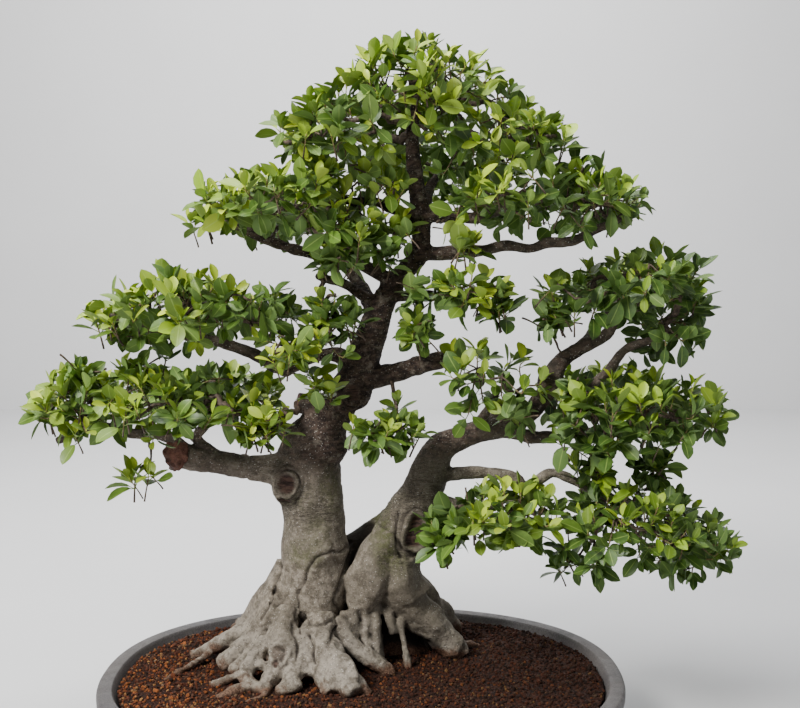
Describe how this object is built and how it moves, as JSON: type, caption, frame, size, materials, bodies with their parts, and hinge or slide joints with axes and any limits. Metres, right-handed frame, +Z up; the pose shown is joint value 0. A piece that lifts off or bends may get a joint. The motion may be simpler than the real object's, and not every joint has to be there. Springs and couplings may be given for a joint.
{
  "type": "bonsai tree in a pot",
  "caption": "Twin-trunk bonsai tree with spreading surface roots and layered foliage masses, in a wide shallow oval stoneware pot filled with granular soil.",
  "frame": {"origin": "on the surface the pot stands on, under the middle of the whole object's bounding box", "axes": "+X along the crown's width to the right as seen from the front, +Y from the front of the tree to its back, +Z up the trunks"},
  "size_m": [0.951, 0.5904, 0.9436],
  "materials": {
    "stoneware": "unglazed grey-brown stoneware, dull satin",
    "soil": "loose red-brown fired-clay grains, matte",
    "bark": "smooth grey bark with pores and wrinkles, darker and browner higher up",
    "leaves": "glossy green leaves, lighter at the young tips",
    "netting": "black moulded plastic netting",
    "wire": "plain drawn wire, satin"
  },
  "bodies": {
    "root": {"pot": "stoneware", "soil": "soil", "trunk_and_branches": "bark", "drain_screen_left": "netting", "screen_wire_left": "wire", "drain_screen_right": "netting", "screen_wire_right": "wire", "foliage_crown": "leaves", "foliage_upper_left": "leaves", "foliage_upper_right": "leaves", "foliage_left_middle": "leaves", "foliage_inner_left": "leaves", "foliage_left_low": "leaves", "foliage_left_tuft": "leaves", "foliage_centre_low": "leaves", "foliage_centre_right": "leaves", "foliage_inner_right": "leaves", "foliage_right_upper": "leaves", "foliage_right_middle": "leaves", "foliage_right_low": "leaves", "foliage_right_inner_low": "leaves", "foliage_back_crown": "leaves", "foliage_back_left_upper": "leaves", "foliage_back_left_low": "leaves", "foliage_back_right_upper": "leaves", "foliage_back_right_low": "leaves"}
  },
  "joints": []
}
